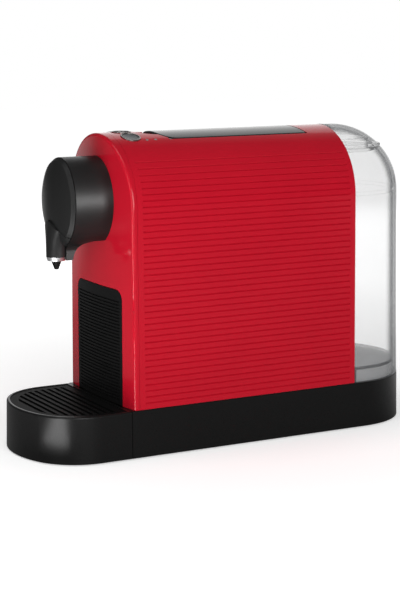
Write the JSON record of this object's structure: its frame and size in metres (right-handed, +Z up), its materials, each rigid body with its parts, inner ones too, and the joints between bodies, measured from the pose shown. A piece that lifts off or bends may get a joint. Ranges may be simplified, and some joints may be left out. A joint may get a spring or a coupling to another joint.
{
  "type": "pod coffee machine",
  "caption": "Compact pod coffee machine: arched grooved casing, round brew head with spout over a drip tray, top lever, push buttons and a clear rear water tank.",
  "frame": {"origin": "middle of the base's box, on the surface that the machine stands on", "axes": "+Z up, -Y towards the cup side, +Y towards the water tank"},
  "size_m": [0.1188, 0.3528, 0.2506],
  "materials": {
    "black_plastic": "satin black",
    "black_satin": "satin black",
    "black_matt": "matt black",
    "red_gloss": "gloss red",
    "lever_grey": "gloss dark grey",
    "rubber": "soft",
    "chrome": "polished",
    "button_grey": "satin grey",
    "light_lens": "clear lens",
    "clear_plastic": "clear moulded plastic",
    "steel": "turned",
    "works_plastic": "moulded",
    "hose": "milky silicone",
    "board": "coated board",
    "pump_case": "moulded",
    "cast_aluminium": "as cast"
  },
  "bodies": {
    "housing": {"base_pan": "black_plastic", "base_plate": "black_matt", "body_shell": "red_gloss", "brew_frame": "works_plastic", "brew_hose": "hose", "brew_plate": "works_plastic", "button_board": "board", "button_rings": "chrome", "capsule_chute": "works_plastic", "chassis": "works_plastic", "control_board": "board", "cord_gland": "black_matt", "dock_seal": "rubber", "feed_tube": "steel", "flow_meter": "works_plastic", "front_panel": "red_gloss", "head_barrel": "black_satin", "head_cap": "black_satin", "heater_bracket": "steel", "indicator_lights": "light_lens", "lever_pin": "steel", "outlet_pipe": "hose", "pressure_hose": "hose", "pump": "pump_case", "pump_hose": "hose", "pump_mounts": "rubber", "rear_panel": "black_plastic", "rubber_feet": "rubber", "spout_cover": "black_satin", "spout_nozzle": "black_matt", "spout_ring": "chrome", "suction_hose": "hose", "tank_dock": "black_matt", "thermoblock": "cast_aluminium"},
    "lever": {"lever": "lever_grey"},
    "chamber": {"brew_chamber": "works_plastic", "follower_pin": "steel"},
    "tray": {"drip_tray": "black_plastic", "capsule_bin": "black_matt", "bin_front": "black_matt"},
    "grid": {"drip_grid": "black_plastic"},
    "tank": {"water_tank": "clear_plastic", "lid_pin": "steel"},
    "lid": {"tank_lid": "clear_plastic"},
    "valve": {"tank_valve": "works_plastic"},
    "key_left": {"button_left": "button_grey"},
    "key_centre": {"button_centre": "button_grey"},
    "key_right": {"button_right": "button_grey"}
  },
  "joints": [
    {"name": "lever_hinge", "type": "hinge", "parent": "housing", "child": "lever", "pos_m": [0, 0.06276, 0.236], "axis": [-1, 0, 0], "range_deg": [0, 75]},
    {"name": "chamber_slide", "type": "slide", "parent": "housing", "child": "chamber", "axis": [0, 1, 0], "range_m": [0, 0.034]},
    {"name": "tray_slide", "type": "slide", "parent": "housing", "child": "tray", "axis": [0, -1, 0], "range_m": [0, 0.11]},
    {"name": "grid_lift", "type": "slide", "parent": "tray", "child": "grid", "axis": [0, 0, 1], "range_m": [0, 0.04]},
    {"name": "tank_lift", "type": "slide", "parent": "housing", "child": "tank", "axis": [0, 0, 1], "range_m": [0, 0.215]},
    {"name": "lid_hinge", "type": "hinge", "parent": "tank", "child": "lid", "pos_m": [0, 0.1082, 0.2474], "axis": [1, 0, 0], "range_deg": [0, 90]},
    {"name": "valve_slide", "type": "slide", "parent": "tank", "child": "valve", "axis": [0, 0, 1], "range_m": [0, 0.003], "stiffness_N_per_m": 250},
    {"name": "key_left_press", "type": "slide", "parent": "housing", "child": "key_left", "axis": [0.3056, 0, -0.9521], "range_m": [0, 0.0015], "stiffness_N_per_m": 600},
    {"name": "key_centre_press", "type": "slide", "parent": "housing", "child": "key_centre", "axis": [0, 0, -1], "range_m": [0, 0.0015], "stiffness_N_per_m": 600},
    {"name": "key_right_press", "type": "slide", "parent": "housing", "child": "key_right", "axis": [-0.3056, 0, -0.9521], "range_m": [0, 0.0015], "stiffness_N_per_m": 600}
  ],
  "couplings": [
    {"joint": "chamber_slide", "follows": "lever_hinge", "m_per_rad": 0.025974}
  ]
}
